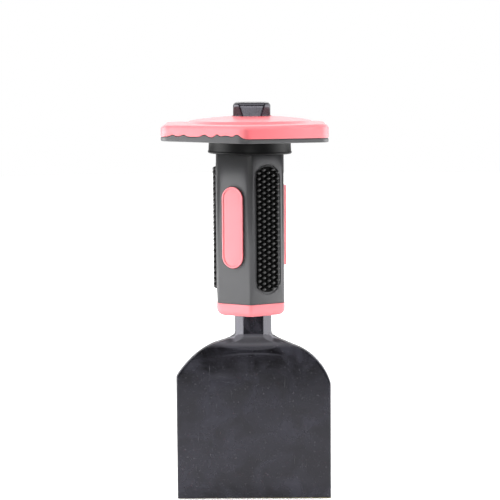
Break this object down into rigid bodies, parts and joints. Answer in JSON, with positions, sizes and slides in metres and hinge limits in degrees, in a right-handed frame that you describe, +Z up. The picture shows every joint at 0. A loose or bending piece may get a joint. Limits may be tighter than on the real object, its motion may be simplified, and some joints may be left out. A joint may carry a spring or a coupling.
{
  "type": "brick bolster chisel",
  "caption": "Wide-blade brick bolster chisel with a hexagonal soft grip, knurled pads and a hexagonal hand guard round the striking head.",
  "frame": {"origin": "middle of the cutting edge, on its flat land", "axes": "+Z up the shank to the striking head, X across the blade, Y through the blade's thickness"},
  "size_m": [0.0964, 0.107, 0.2322],
  "materials": {
    "lacquered_steel": "gloss black lacquer on forged steel",
    "hard_core": "moulded, hidden",
    "grip_rubber": "smooth moulded rubber, satin",
    "pad_rubber": "knurled rubber, matt",
    "rim_rubber": "smooth moulded rubber, satin",
    "pink_plastic": "moulded soft plastic, satin"
  },
  "bodies": {
    "root": {"chisel_forging": "lacquered_steel", "grip_core": "hard_core", "grip_sleeve": "grip_rubber", "knurled_pad_left": "pad_rubber", "knurled_pad_front": "pad_rubber", "knurled_pad_back": "pad_rubber", "oval_inlay_front": "pink_plastic", "oval_inlay_right": "pink_plastic", "oval_inlay_back": "pink_plastic", "end_ring": "pink_plastic", "guard_base": "rim_rubber", "guard_shell": "pink_plastic"}
  },
  "joints": []
}
